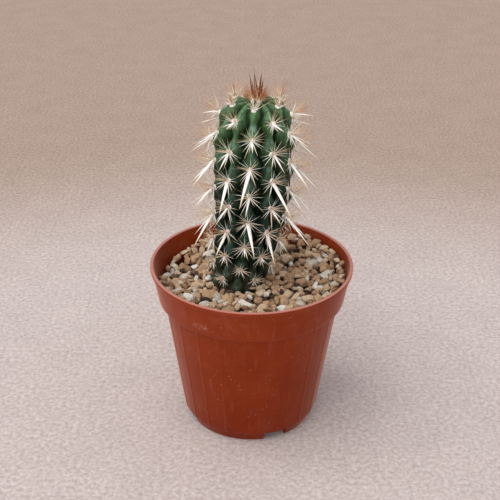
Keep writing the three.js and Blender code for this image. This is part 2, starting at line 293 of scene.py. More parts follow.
# %% Turn the outline into a fluted shell
def pot_angles():
    """Column angles in degrees: close together at each ridge, and a pair at each edge of a notch."""
    share = np.array([0, 0.02, 0.045, 0.08, 0.13, 0.21, 0.36, 0.62])
    within = np.concatenate([-share[:0:-1], share, [1.0]]) / 2
    flutes = (np.arange(FLUTES)[:, None] + within).ravel() * 360 / FLUTES + FLUTE_TURN
    half = np.degrees(NOTCH_WIDTH / 2 / FOOT)
    middle = NOTCH_TURN + np.arange(NOTCHES) * 360 / NOTCHES
    edges = np.concatenate([middle + side * half + nudge for side in (-1, 1) for nudge in (-0.03, 0.03)])
    return np.unique(np.round(np.concatenate([flutes, edges]) % 360, 3))


def pot_points():
    """Point = (r sin a, -r cos a, h), where r is the outline's radius less the depth of the panel, which is
    RIDGE (1 - exp(-s / 0.09)) at the share s of the way from a ridge to the middle of its panel."""
    angle = pot_angles()
    radius, height = pot_outline[:, 0][:, None], pot_outline[:, 1][:, None]
    pitch = (angle - FLUTE_TURN) / (360 / FLUTES)
    share = 2 * np.abs(pitch - np.round(pitch))
    wall_line = np.interp(height, [FOOT_HEIGHT, SHELF], [BODY_FOOT, BODY_TOP])
    on_wall = (np.abs(radius - wall_line) < WALL / 2) & (height > FOOT_HEIGHT + 0.3) & (height < SHELF - 0.2)
    fluted = radius - on_wall * RIDGE * (1 - np.exp(-share / 0.09))
    from_notch = (angle - NOTCH_TURN + 180 / NOTCHES) % (360 / NOTCHES) - 180 / NOTCHES
    in_notch = np.abs(np.radians(from_notch)) * FOOT < NOTCH_WIDTH / 2
    raised = np.where(in_notch & (height < NOTCH_HEIGHT), NOTCH_HEIGHT, height)
    a = np.radians(angle)
    return np.stack([fluted * np.sin(a), -fluted * np.cos(a), raised + 0 * a], axis=-1)


# %% [markdown]
# ## Terracotta-coloured polypropylene
# The pot is injection-moulded polypropylene, coloured to look like fired clay. The mould leaves it satin,
# neither glossy nor dull. A used pot has a film of dust on the collar, a few chalky specks and a wiped smear
# where water dried, and faint vertical rub marks. The pale top of the lip is dust and a painted highlight,
# and the wall's deeper colour towards the foot is painted shade. IOR 1.49 and roughness 0.4 are usual for
# moulded polypropylene, and where dust lies the roughness rises. The faint sheen is the thin film of dust
# that lightens the sides, where one looks along the wall.

# %% The pot's plastic
plastic, tree, place = new_material("polypropylene_moulded_terracotta")
cloud = add_node(tree, "TexNoise", {}, {"Vector": place, "Scale": 55.0, "Detail": 6.0, "Roughness": 0.6})
height = add_node(tree, "SeparateXYZ", {}, {"Vector": place})
# The wall is painted a little deeper in colour towards the foot: painted shade low on the wall.
foot_painted_shade = add_node(tree, "MapRange", {}, {
    "Value": (height, "Z"), "From Min": 0.0, "From Max": 60 * MM, "To Min": -0.25, "To Max": 0.25})
tint_and_foot_shade = add_node(tree, "Math", {"operation": "ADD"}, {"Value": cloud, "Value_001": foot_painted_shade})
tint = add_node(tree, "Mix", RGBA, {
    "Factor_Float": tint_and_foot_shade, "A_Color": linear("#6e1f05"), "B_Color": linear("#8b3410")})
# Dust clings in soft patches to the collar, less to the wall below it. The pale band on the top of the lip is
# dust together with a painted highlight, where the rolled edge catches the light.
lip_dust_and_highlight = add_node(tree, "MapRange", SMOOTH, {
    "Value": (height, "Z"), "From Min": (POT_HEIGHT - 0.3) * MM, "From Max": (POT_HEIGHT - 0.03) * MM,
    "To Max": 0.55})
by_height = add_node(tree, "MapRange", SMOOTH, {
    "Value": (height, "Z"), "From Min": 50 * MM, "From Max": 64 * MM, "To Min": 0.05, "To Max": 0.12})
patchy = add_node(tree, "TexNoise", {}, {"Vector": place, "Scale": 90.0, "Detail": 7.0, "Roughness": 0.75})
film = add_node(tree, "MapRange", {}, {
    "Value": patchy, "From Min": 0.5, "From Max": 0.78, "To Max": by_height})
# Rub marks run down the wall: a noise whose grain is seventeen times longer than wide.
stretched = add_node(tree, "Mapping", {}, {"Vector": place, "Scale": (1.0, 1.0, 0.06)})
rubbed = add_node(tree, "TexNoise", {}, {"Vector": stretched, "Scale": 520.0, "Detail": 4.0})
rub_share = add_node(tree, "MapRange", {}, {
    "Value": rubbed, "From Min": 0.55, "From Max": 0.8, "To Max": 0.08})
# Specks up to 0.9 mm across, in about half of the cells of a pattern whose cells are 1.9 mm wide.
cells = add_node(tree, "TexVoronoi", {"feature": "F1"}, {"Vector": place, "Scale": 520.0})
speck = add_node(tree, "MapRange", {}, {
    "Value": (cells, "Distance"), "From Min": 0.24, "From Max": 0.08, "To Max": 1.0})
sparse = add_node(tree, "MapRange", {}, {
    "Value": (cells, "Color"), "From Min": 0.5, "From Max": 0.9, "To Max": 0.3})
speck_share = add_node(tree, "Math", {"operation": "MULTIPLY"}, {"Value": speck, "Value_001": sparse})
# One chalky smear, 12 mm wide and 4 mm high, where a drop dried on the collar.
SMEAR = np.array([-19.5, -35.5, 61.0]) * MM
PER_SMEAR = np.array([160.0, 160.0, 460.0])
from_smear = add_node(tree, "Mapping", {}, {
    "Vector": place, "Scale": PER_SMEAR, "Location": -SMEAR * PER_SMEAR})
reach = add_node(tree, "VectorMath", {"operation": "LENGTH"}, {"Vector": from_smear})
in_smear = add_node(tree, "MapRange", {}, {
    "Value": (reach, "Value"), "From Min": 1.0, "From Max": 0.2, "To Max": 1.0})
streaky = add_node(tree, "MapRange", {}, {
    "Value": patchy, "From Min": 0.46, "From Max": 0.6, "To Max": 0.55})
smear_share = add_node(tree, "Math", {"operation": "MULTIPLY"}, {"Value": in_smear, "Value_001": streaky})
# This pale mix carries real dust, specks, rubs and the smear, and also the painted highlight on the lip.
dirt_and_lip_highlight = film
for share in (lip_dust_and_highlight, rub_share, speck_share, smear_share):
    dirt_and_lip_highlight = add_node(tree, "Math", {"operation": "MAXIMUM"}, {"Value": dirt_and_lip_highlight, "Value_001": share})
dirt_and_highlight_colour = add_node(tree, "Mix", RGBA, {"Factor_Float": dirt_and_lip_highlight, "A_Color": tint, "B_Color": linear("#cd988c")})
# The moulded skin: a fine orange peel, with grain of about 0.7 mm.
peel = add_node(tree, "TexNoise", {}, {"Vector": place, "Scale": 1400.0, "Detail": 2.0})
relief = add_node(tree, "Bump", {}, {"Height": peel, "Strength": 0.12, "Distance": 0.0001})
roughness = add_node(tree, "MapRange", {}, {"Value": dirt_and_lip_highlight, "To Min": 0.4, "To Max": 0.8})
shade = add_node(tree, "BsdfPrincipled", {}, {
    "Base Color": dirt_and_highlight_colour, "Roughness": roughness, "IOR": 1.49, "Specular IOR Level": 0.1, "Normal": relief,
    "Sheen Weight": 0.6, "Sheen Roughness": 0.28, "Sheen Tint": linear("#f0b6a0")})
add_node(tree, "OutputMaterial", {}, {"Surface": shade})
print("Material", plastic.name, "has", len(tree.nodes), "nodes")

# %% Make the pot and drill its drainage holes
shell = pot_points()
pot = add_piece("pot_shell", shell * MM, grid_faces(*shell.shape[:2]), plastic, merge=True)
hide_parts("pot")

HOLES, HOLE_RADIUS, HOLE_CIRCLE, HOLE_SIDES = 8, 1.9, 20.5, 24
work = bmesh.new()
for turned in np.radians(np.arange(HOLES) * 360 / HOLES):
    x, y = HOLE_CIRCLE * np.sin(turned), -HOLE_CIRCLE * np.cos(turned)
    middle = Matrix.Translation(np.array([x, y, (FLOOR_UNDER + FLOOR_TOP) / 2]) * MM)
    bmesh.ops.create_cone(work, cap_ends=True, segments=HOLE_SIDES, depth=4 * MM, matrix=middle,
                          radius1=HOLE_RADIUS * MM, radius2=HOLE_RADIUS * MM)
cutter_mesh = bpy.data.meshes.new("drain_cutter")
work.to_mesh(cutter_mesh)
work.free()
cutter = bpy.data.objects.new("drain_cutter", cutter_mesh)
bpy.context.collection.objects.link(cutter)
drill = pot.modifiers.new("drain_holes", "BOOLEAN")
drill.operation = "DIFFERENCE"
drill.solver = "EXACT"
drill.object = cutter
finished = bpy.data.meshes.new_from_object(pot.evaluated_get(bpy.context.evaluated_depsgraph_get()))
pot.modifiers.clear()
pot.data = finished
bpy.data.objects.remove(cutter)
finished.shade_smooth()
finished.set_sharp_from_angle(angle=np.radians(50))
print("The drilled pot has", len(finished.polygons), "faces")


# %% [markdown]
# ## Grains of gravel
# A grain broke off a larger lump and was then tumbled: a ball cut by ten to twenty flat faces, whose edges
# are worn. The formula for that is smooth. For a direction d, each cut k allows the radius e_k / (d . n_k),
# and the worn solid takes the soft least of them: r = (sum of (d . n_k / e_k) ** p) ** (-1 / p). A low p
# gives a pebble and a high p a crystal. All grains are worked out together as one array.

# %% Worn stones as one array
def ball(level):
    """The points, directions all of length 1, and the triangles of a geodesic ball."""
    work = bmesh.new()
    bmesh.ops.create_icosphere(work, subdivisions=level, radius=1.0)
    points = np.array([vert.co[:] for vert in work.verts])
    faces = np.array([[vert.index for vert in face.verts] for face in work.faces])
    work.free()
    return points / np.linalg.norm(points, axis=1, keepdims=True), faces


def turns(count):
    """Random turns as rotation matrices, from unit quaternions."""
    quaternion = draw.normal(size=(4, count))
    w, x, y, z = quaternion / np.linalg.norm(quaternion, axis=0)
    rows = [[1 - 2 * (y * y + z * z), 2 * (x * y - z * w), 2 * (x * z + y * w)],
            [2 * (x * y + z * w), 1 - 2 * (x * x + z * z), 2 * (y * z - x * w)],
            [2 * (x * z - y * w), 2 * (y * z + x * w), 1 - 2 * (x * x + y * y)]]
    return np.moveaxis(np.array(rows), 2, 0)


def worn_stones(directions, count, cuts, wear, spread=0.3):
    """Radius (sum over the cuts of max(d . n, 0) / e, each to the power wear) ** (-1 / wear), at most 1.25,
    for every stone and every direction. The cuts' distances e are drawn from 1 - spread to 1, and three of
    the cuts have a twin on the opposite side."""
    normals = draw.normal(size=(count, cuts, 3))
    normals /= np.linalg.norm(normals, axis=2, keepdims=True)
    normals = np.concatenate([normals, -normals[:, :3]], axis=1)
    distances = draw.uniform(1 - spread, 1, size=normals.shape[:2])
    facing = np.maximum(np.einsum("vj,gkj->gvk", directions, normals), 0) / distances[:, None]
    radius = (facing ** wear).sum(axis=2) ** (-1 / wear)
    return directions * np.minimum(radius, 1.25)[..., None]


def ripple(points, size, strength):
    """A gentle unevenness: the mean of six sine waves in random directions, of wavelengths near one size."""
    waves = draw.normal(size=(6, 3)) * 2 * np.pi / size / 1.7
    return strength * np.sin(points @ waves.T + draw.uniform(0, 2 * np.pi, 6)).mean(axis=-1)


# %% [markdown]
# ## The surface of the mix
# The gravel stands 11.5 mm below the rim at the pot's axis and rises a little to the right and to the
# back, as a plant is never potted dead level. Later cells ask two questions of it: how high the mix is at a
# place, and how wide the pot is inside at a height. The place where the stem stands is noted beside them.

# %% Heights of the mix and the inside of the pot
HEADSPACE, SLOPE_RIGHT, SLOPE_BACK = 11.5, 0.07, 0.03
MIX_HEIGHT = POT_HEIGHT - HEADSPACE
STEM_FOOT = np.array([-6.0, 3.0])


def mix_top(x, y):
    """The plane MIX_HEIGHT + SLOPE_RIGHT x + SLOPE_BACK y."""
    return MIX_HEIGHT + SLOPE_RIGHT * x + SLOPE_BACK * y


def pot_inside(height):
    """The inner radius of the pot at a height: straight lines from the floor to the shelf and to the lip."""
    heights = [FLOOR_TOP, SHELF + WALL - 0.25, SHELF + WALL, POT_HEIGHT]
    return np.interp(height, heights, np.array([BODY_FOOT, BODY_TOP, COLLAR_FOOT, COLLAR_TOP]) - WALL)


left, right = (round(mix_top(side, 0), 1) for side in (-38, 38))
print("The mix lies at", left, "mm on the left and at", right, "mm on the right")

# %% [markdown]
# ## Baked clay, pumice and bark
# The tan grains are baked clay: soft, dusty and quite dull, each lump a little redder or greyer than the
# next. The cream ones are pumice, a foamed volcanic glass whose open pores look chalky. The dark crumbs are
# composted bark. Every grain carries its own number, tint, and the colour follows it, so that no two
# neighbours match. None of them shines: the roughness is 0.92.


# %% Materials for the gravel
def gravel_material(name, dark, middle, pale, pore_size, pore_depth):
    """Colour runs from dark over middle to pale with the grain's own tint and with a fine mottle of the
    pore size in mm, and the pores are pressed in by the bump."""
    made, tree, place = new_material(name)
    tint = add_node(tree, "Attribute", {"attribute_name": "tint"})
    mottle = add_node(tree, "TexNoise", {}, {
        "Vector": place, "Scale": 0.5 / (pore_size * MM), "Detail": 6.0, "Roughness": 0.7})
    clean = three_colours(tree, (tint, "Fac"), dark, middle, pale, 0.5)
    worn = add_node(tree, "MapRange", {}, {
        "Value": mottle, "From Min": 0.35, "From Max": 0.7, "To Min": 0.6, "To Max": 1.15})
    colour = add_node(tree, "VectorMath", {"operation": "SCALE"}, {"Vector": clean, "Scale": worn})
    relief = add_node(tree, "Bump", {}, {"Height": mottle, "Strength": 0.9, "Distance": pore_depth * MM})
    shade = add_node(tree, "BsdfPrincipled", {}, {
        "Base Color": colour, "Roughness": 0.92, "IOR": 1.5, "Specular IOR Level": 0.25, "Normal": relief})
    add_node(tree, "OutputMaterial", {}, {"Surface": shade})
    print("Material", name, "has", len(tree.nodes), "nodes")
    return made


baked_clay = gravel_material("clay_baked_granules", "#937153", "#c19d7b", "#dac1a3", 0.5, 0.3)
pumice = gravel_material("pumice_tumbled", "#c0b09b", "#dcd2c2", "#f0ece4", 0.4, 0.35)
bark = gravel_material("bark_composted", "#372924", "#564239", "#776257", 0.6, 0.3)
fines = gravel_material("mix_fines", "#463425", "#664f39", "#856b4e", 1.2, 0.8)


# %% [markdown]
# ## The larger stones
# Forty-four stones are big enough to be picked up one by one, and each has a box of its own in model.glb.
# Every one becomes its own worn stone of 5,120 triangles. It is stretched to fill that box and 0.25 to
# 0.3 mm more on each side, so that it settles into its neighbours. Pumice is cut by fewer faces and worn
# rounder than clay.

# %% One worn stone for each box
ball_points, ball_faces = ball(5)
stone_boxes = {name: np.array([corner[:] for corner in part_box(name)]) / MM
               for name in sorted(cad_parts) if name.startswith(("pumice", "clay_granule"))}
OVERFILL = np.array([0.25, 0.25, 0.3])
for name, (low, high) in stone_boxes.items():
    if name.startswith("pumice"):
        cuts, wear, tint_range, material, slot = 9, 7.0, (0.35, 1.0), pumice, "pumice"
    else:
        cuts, wear, tint_range, material, slot = 13, 11.0, (0.2, 0.9), baked_clay, "baked_clay"
    shape = worn_stones(ball_points, 1, cuts, wear)[0]
    shape = shape * (1 + ripple(shape, 0.9, 0.12) + ripple(shape, 0.35, 0.05))[:, None]
    shape = (shape - shape.min(axis=0)) / np.ptp(shape, axis=0)
    stone = (low - OVERFILL) + shape * (high - low + 2 * OVERFILL)
    tint = np.full(len(stone), draw.uniform(*tint_range))
    piece = add_piece(f"{name}_stone", stone * MM, ball_faces, material, {"tint": tint})
    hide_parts(name)
stone_middle = np.array([box.mean(axis=0) for box in stone_boxes.values()])
stone_half = np.array([np.ptp(box, axis=0) / 2 for box in stone_boxes.values()])


# %% [markdown]
# ## Pouring the small grains
# The rest of the top layer is some six hundred grains of 2.4 to 5 mm. They are poured one at a time: each
# comes down at a place on a spiral and stops on the bed or on the highest grain that it meets, and one that
# would stand too proud rolls off and is left out. That fills hollows first and leaves real gaps, where a
# plain scatter would leave grains floating or sunk.

# %% Find where every small grain comes to rest
POURS = 7500
GRAIN_LEAST, GRAIN_MOST = 1.2, 2.5
FLATNESS = 0.75
PROUD = 4.2
BANKED = 3.2


def banked_top(x, y):
    """The mix's plane, raised towards the wall: by BANKED times q squared, where q goes from 0 at 22 mm from
    the axis to 1 at 38 mm."""
    share = np.clip((np.hypot(x, y) - 22) / 16, 0, 1)
    return mix_top(x, y) + BANKED * share ** 2


def stem_radius_at(height):
    """The outer radius of the stem near the gravel: 11.1 mm, and 0.09 mm more for each mm above it."""
    return 11.1 + 0.09 * (height - MIX_HEIGHT)


golden = np.radians(137.508)
pour_angle = np.arange(POURS) * golden
pour_reach = (RIM - 3.0) * np.sqrt((np.arange(POURS) + 0.5) / POURS)
pour_reach = pour_reach[draw.permutation(POURS)]
pour_half = GRAIN_LEAST + (GRAIN_MOST - GRAIN_LEAST) * draw.beta(1.6, 2.2, POURS)
# A grain is FLATNESS as high as it is wide, and may stand PROUD above the ground. It touches another at 0.8
# of their half widths together, and is lifted onto it as one ellipsoid onto another: by the root of
# 1 - (away / touch) ^ 2 times 0.84 of their half heights, because worn shapes sink into each other a little.
# Each row of rest: x, y, z, half width, half height, and whether it is one of the larger stones.
rest = [(*middle, half[:2].mean(), half[2], True) for middle, half in zip(stone_middle, stone_half)]
rest = np.array(rest, float)
grains = []
for angle, reach, half in zip(pour_angle, pour_reach, pour_half):
    x, y = reach * np.sin(angle), -reach * np.cos(angle)
    ground = banked_top(x, y)
    if reach > pot_inside(ground) - half * 0.95:
        continue
    if np.hypot(x - STEM_FOOT[0], y - STEM_FOOT[1]) < stem_radius_at(ground + 3) + half * 0.25:
        continue
    away = np.hypot(rest[:, 0] - x, rest[:, 1] - y)
    touch = 0.8 * (rest[:, 3] + half)
    near = away < touch
    overlap = np.sqrt(np.maximum(1 - (away[near] / touch[near]) ** 2, 0))
    lift = 0.84 * overlap * (rest[near, 4] + FLATNESS * half)
    z = max([ground - 0.9 + 0.6 * half, *(rest[near, 2] + lift)])
    on_stone = (near & (rest[:, 5] > 0) & (away < 0.95 * rest[:, 3])).any()
    if on_stone or z + 0.7 * half > ground + PROUD:
        continue
    grains.append((x, y, z, half))
    rest = np.vstack([rest, (x, y, z, half, FLATNESS * half, False)])
grains = np.array(grains)
print(len(grains), "small grains came to rest")


# %% Shape them and join them by kind
def pour(name, chosen, material, cuts, wear, squash, tint_range):
    """Worn stones of eighty flat triangles, each flattened, turned at random and moved to its place."""
    directions, faces = ball(2)
    count = len(chosen)
    shapes = worn_stones(directions, count, cuts, wear, spread=0.38)
    stretch = np.stack([draw.uniform(*span, count) for span in ((1.0, 1.4), (0.75, 1.0), squash)], axis=1)
    shapes = np.einsum("gij,gvj->gvi", turns(count), shapes * stretch[:, None])
    shapes[..., 2] *= 0.8
    points = chosen[:, None, :3] + shapes * chosen[:, None, 3:4]
    faces = copied(faces, count, len(directions))
    tint = np.repeat(draw.uniform(*tint_range, count), len(directions))
    piece = add_piece(name, points * MM, faces, material, {"tint": tint})
    piece.data.shade_flat()


kind = draw.random(len(grains))
CLAY_SHARE, PUMICE_SHARE = 0.79, 0.14
is_clay = kind < CLAY_SHARE
is_bark = kind >= CLAY_SHARE + PUMICE_SHARE
pour("gravel_clay", grains[is_clay], baked_clay, 7, 26.0, (0.5, 0.85), (0.0, 1.0))
pour("gravel_pumice", grains[~is_clay & ~is_bark], pumice, 8, 18.0, (0.5, 0.9), (0.0, 0.9))
pour("gravel_bark", grains[is_bark], bark, 7, 14.0, (0.35, 0.6), (0.0, 1.0))


# %% [markdown]
# ## The bed under them
# Between the grains the eye meets the fines: dark crumbs and dust. They are one closed body that fills the
# pot up to just under the grains, with a socket where the stem goes down. Its rows run from the middle of
# the floor, out and up along the wall, in across the top and down the socket to a point.

# %% Fill the pot
def bed_points(columns=120):
    """Each row is a circle, given by its middle, radius and height; on the top, the middle and radius run
    from the pot's to the stem's, and the height follows the sloping plane with a ripple."""
    angle = np.linspace(0, 2 * np.pi, columns, endpoint=False)
    around = np.stack([np.sin(angle), -np.cos(angle)], axis=-1)
    gap = 0.3
    side = np.linspace(FLOOR_TOP + gap, MIX_HEIGHT - 4.5, 16)
    down = [(0.0, FLOOR_TOP + gap), (10.0, FLOOR_TOP + gap), (20.0, FLOOR_TOP + gap)]
    rows = [np.concatenate([r * around, np.full((columns, 1), h)], axis=1)
            for r, h in down + [(float(pot_inside(h)) - gap - 0.1, h) for h in side]]
    for share in np.linspace(0, 1, 30):
        at_wall, at_stem = pot_inside(MIX_HEIGHT - 3) - gap - 0.1, stem_radius_at(MIX_HEIGHT) + 0.6
        flat = share * STEM_FOOT + ((1 - share) * at_wall + share * at_stem) * around
        level = banked_top(flat[:, 0], flat[:, 1]) - 0.6
        rows.append(np.concatenate([flat, level[:, None]], axis=1))
    top = np.array(rows[len(down) + len(side):])
    top[..., 2] += ripple(top, 5.0, 0.6) + ripple(top, 1.8, 0.3)
    rows[len(down) + len(side):] = list(top)
    for radius, height in [(10.0, MIX_HEIGHT - 8), (5.0, MIX_HEIGHT - 18), (0.0, MIX_HEIGHT - 26)]:
        rows.append(np.concatenate([STEM_FOOT + radius * around, np.full((columns, 1), height)], axis=1))
    return np.array(rows)


bed_grid = bed_points()
bed = add_piece("gravel_bed", bed_grid * MM, grid_faces(*bed_grid.shape[:2]), fines,
                {"tint": np.full(bed_grid.shape[:2], 0.4)}, merge=True)
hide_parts("potting_mix")


# %% [markdown]
# ## The ribbed stem
# A columnar cactus folds its skin into ribs so that it can swell and shrink. Twelve ribs run from the
# growing point down, and each carries an areole, the woolly bud that spines grow from, every 11.5 mm. Beside
# an areole the rib is widest, and as neighbours are half a pitch apart, the furrows between them zigzag.
# The surface is a function of two numbers: the place across a rib, from -1 in one furrow over 0 on the
# crest to 1 in the next, and the distance down the outline from the growing point.

# %% Sizes of the stem
STEM_HEIGHT, STEM_RADIUS, BURIED = 81.0, 15.8, 24.0
RIBS, RIB_TURN, RIB_DEPTH = 12, -4.0, 4.6
PITCH_DOWN, FIRST_AREOLE = 11.5, 4.25
stem_shares = np.array([
    (0, 0.994), (0.35, 1.003), (0.68, 0.985), (0.86, 0.93), (0.985, 0.83), (1.02, 0.65),
    (0.98, 0.46), (0.8, 0.16), (0.7, 0), (0.58, -0.35), (0.3, -0.8), (0, -1)])


def stem_outline(steps=40):
    """The smooth curve through the outline's points: between b and c, with a before and d after, it is
    b + (c-a)t/2 + (2a-5b+4c-d)t^2/2 + (3b-a-3c+d)t^3/2. Returned with the distance along it."""
    reach = np.where(stem_shares[:, 1] < 0, BURIED, STEM_HEIGHT)
    p = np.stack([stem_shares[:, 0] * STEM_RADIUS, MIX_HEIGHT + stem_shares[:, 1] * reach], axis=1)
    a, b, c, d = np.vstack([p[:1], p[:-2]]), p[:-1], p[1:], np.vstack([p[2:], p[-1:]])
    t = np.linspace(0, 1, steps, endpoint=False)[:, None, None]
    curve = (b + (c - a) * t / 2 + (2 * a - 5 * b + 4 * c - d) * t ** 2 / 2
             + (3 * b - a - 3 * c + d) * t ** 3 / 2)
    line = np.vstack([curve.transpose(1, 0, 2).reshape(-1, 2), p[-1:]])
    along = np.concatenate([[0], np.cumsum(np.linalg.norm(np.diff(line, axis=0), axis=1))])
    return line, along


outline, along = stem_outline()


def on_outline(distance):
    """Radius, height and the outward normal (radial part, upward part) at a distance down the outline."""
    radius, height = np.interp(distance, along, outline[:, 0]), np.interp(distance, along, outline[:, 1])
    step = 0.4
    before, after = np.maximum(distance - step, 0), np.minimum(distance + step, along[-1])
    run = np.interp(after, along, outline[:, 0]) - np.interp(before, along, outline[:, 0])
    drop = np.interp(before, along, outline[:, 1]) - np.interp(after, along, outline[:, 1])
    size = np.hypot(run, drop)
    return radius, height, drop / size, run / size


def stem_middle(height):
    """How far the stem's middle stands to the right: it leans in from its foot, straightens by 0.56 of its
    height, and bends slightly on at the crown."""
    rise = (height - MIX_HEIGHT) / STEM_HEIGHT
    foot = STEM_FOOT[0] * np.clip(1 - rise / 0.56, 0, 1) ** 1.5
    return foot + 1.2 * (np.maximum(rise - 0.56, 0) / 0.44) ** 2


print("From the growing point to the buried end the outline is", round(float(along[-1]), 1), "mm long")


# %% Shape the skin
def stem_points(columns_per_rib=20, spacing=0.55):
    """With c = cos(2 pi (distance - first areole) / pitch) of a rib, 1 at its areoles and -1 between them,
    the rib spans half a rib times (1 + 0.36 c) to each side. At the share u across it, the skin is drawn in
    by depth |u| ** 2.1 from the outline and swells by 0.9 c (1 - u ** 2); above each areole is a small dent.
    All that fades in from 5 to 18 mm down, and out again underground, at 88 to 92 mm."""
    above, buried = np.arange(0.5, 90.0, spacing), np.linspace(91.0, along[-1] - 2, 12)
    distance = np.concatenate([[0.0, 0.25], above, buried, [along[-1]]])
    radius, height, out, up = (part[:, None, None] for part in on_outline(distance))
    s = distance[:, None, None]
    rib = np.arange(RIBS)[None, :, None]
    u = np.linspace(-1, 1, columns_per_rib, endpoint=False)[None, None, :]
    first = FIRST_AREOLE + np.where(rib % 2 == 0, PITCH_DOWN / 2, 0)
    beat = np.cos(2 * np.pi * (s - first) / PITCH_DOWN)
    shown = np.clip((s - 5) / 13, 0, 1) * np.clip((92 - s) / 4, 0, 1)
    angle = np.radians(RIB_TURN + 360 / RIBS * (rib + u / 2 * (1 + 0.36 * beat * shown)))
    depth = RIB_DEPTH * radius / STEM_RADIUS * (0.5 + 0.5 * shown)
    swell = 0.9 * beat * shown * (1 - u ** 2) - depth * np.abs(u) ** 2.1
    since = (s - first + PITCH_DOWN / 2) % PITCH_DOWN - PITCH_DOWN / 2
    dent = 0.8 * np.exp(-((since + 2.5) / 1.0) ** 2 - (u / 0.5) ** 2) * shown
    move = np.minimum(swell - dent, radius * 0.9) * np.clip(radius / 3, 0, 1)
    reach = radius + move * out
    points = np.stack([
        reach * np.sin(angle) + stem_middle(height), -reach * np.cos(angle) + STEM_FOOT[1] + 0 * height,
        height + move * up], axis=-1)
    flat = points.reshape(len(distance), -1, 3)
    # The share towards the furrow, which sets the painted shade deep in it.
    furrow = np.broadcast_to(np.abs(u) ** 0.85, angle.shape).reshape(len(distance), -1)
    # The pale patch just above each areole: real bloom and a painted highlight.
    waxy = (np.exp(-((since + 4.2) / 1.9) ** 2) * (1 - u ** 2) * shown).reshape(len(distance), -1)
    downward = np.broadcast_to(s, angle.shape).reshape(len(distance), -1)
    flat = flat + ripple(flat, 7.0, 0.25)[..., None] * np.array([1, 1, 0])
    return flat, furrow, downward, waxy


# %% [markdown]
# ## Cactus skin
# The skin is wax-coated: a deep bluish green with a soft grey bloom where the ribs stand out, partly real
# bloom and partly a painted highlight above the areoles. It is darker and yellower in the furrows, and their
# near-black depth is painted shade. It is fresher green near the growing point. Close to the gravel it goes
# dull and turns corky brown in spots. Wax has an IOR near 1.45, and roughness 0.38 keeps its sheen broad.

# %% The skin's material
skin, tree, place = new_material("cactus_skin_waxed")
furrow = add_node(tree, "Attribute", {"attribute_name": "furrow"})
downward = add_node(tree, "Attribute", {"attribute_name": "downward"})
mottle = add_node(tree, "TexNoise", {}, {"Vector": place, "Scale": 160.0, "Detail": 6.0, "Roughness": 0.6})
fine = add_node(tree, "TexNoise", {}, {"Vector": place, "Scale": 1500.0, "Detail": 3.0})
fresh = add_node(tree, "MapRange", SMOOTH, {
    "Value": (downward, "Fac"), "From Min": 4.0, "From Max": 52.0, "To Min": 1.0, "To Max": 0.0})
crest = add_node(tree, "Mix", RGBA, {
    "Factor_Float": fresh, "A_Color": linear("#102e20"), "B_Color": linear("#557a4d")})
# The near-black colour deep in the furrows is painted shade, laid over the skin's own darker, yellower green.
furrow_painted_shade = add_node(tree, "Mix", RGBA, {
    "Factor_Float": fresh, "A_Color": linear("#050f07"), "B_Color": linear("#182a0a")})
body = add_node(tree, "Mix", RGBA, {"Factor_Float": (furrow, "Fac"), "A_Color": crest, "B_Color": furrow_painted_shade})
waxy = add_node(tree, "Attribute", {"attribute_name": "waxy"})
# The bloom is thickest on the young skin and has worn off lower down. Its pale patches above the areoles are
# also a painted highlight, where the slope faces the light.
most_bloom_and_highlight = add_node(tree, "MapRange", {}, {
    "Value": (downward, "Fac"), "From Min": 20.0, "From Max": 70.0, "To Min": 0.75, "To Max": 0.25})
bloom_and_highlight_share = add_node(tree, "MapRange", {}, {"Value": (waxy, "Fac"), "To Min": 0.04, "To Max": most_bloom_and_highlight})
bloom_and_highlight_patches = add_node(tree, "MapRange", {}, {
    "Value": mottle, "From Min": 0.42, "From Max": 0.72, "To Max": bloom_and_highlight_share})
bloomed_and_lit = add_node(tree, "Mix", RGBA, {
    "Factor_Float": bloom_and_highlight_patches, "A_Color": body, "B_Color": linear("#789a8b")})
low_down = add_node(tree, "MapRange", {}, {
    "Value": (downward, "Fac"), "From Min": 74.0, "From Max": 90.0, "To Max": 0.3})
corky = add_node(tree, "Math", {"operation": "MULTIPLY"}, {"Value": low_down, "Value_001": mottle})
aged = add_node(tree, "Mix", RGBA, {
    "Factor_Float": corky, "A_Color": bloomed_and_lit, "B_Color": linear("#7d7058")})
# Fine pale and dark lines run down the ribs, where the skin has stretched.
stretched = add_node(tree, "Mapping", {}, {"Vector": place, "Scale": (1.0, 1.0, 0.14)})
lines = add_node(tree, "TexNoise", {}, {"Vector": stretched, "Scale": 900.0, "Detail": 4.0})
line_share = add_node(tree, "MapRange", {}, {
    "Value": lines, "From Min": 0.3, "From Max": 0.7, "To Min": 0.5, "To Max": 1.6})
lined = add_node(tree, "VectorMath", {"operation": "SCALE"}, {"Vector": aged, "Scale": line_share})
pores = add_node(tree, "Bump", {}, {"Height": fine, "Strength": 0.35, "Distance": 0.00008})
shade = add_node(tree, "BsdfPrincipled", {}, {
    "Base Color": lined, "Roughness": 0.38, "IOR": 1.45, "Normal": pores, "Specular IOR Level": 0.22,
    "Coat Weight": 0.05, "Coat Roughness": 0.3})
add_node(tree, "OutputMaterial", {}, {"Surface": shade})
print("Material", skin.name, "has", len(tree.nodes), "nodes")

# %% Make the stem
skin_points, skin_furrow_shade, skin_downward, skin_bloom_and_highlight = stem_points()
stem = add_piece("stem_skin", skin_points * MM, grid_faces(*skin_points.shape[:2]), skin,
                 {"furrow": skin_furrow_shade, "downward": skin_downward, "waxy": skin_bloom_and_highlight}, merge=True)
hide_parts("cactus")

# %% [markdown]
# ## Where the areoles sit
# Each areole has a place on its rib's crest and three directions there: out of the skin, up the rib and
# across it. Everything that grows from it is aimed with those, and with its age, which is 0 beside the
# growing point and 1 from 24 mm down.

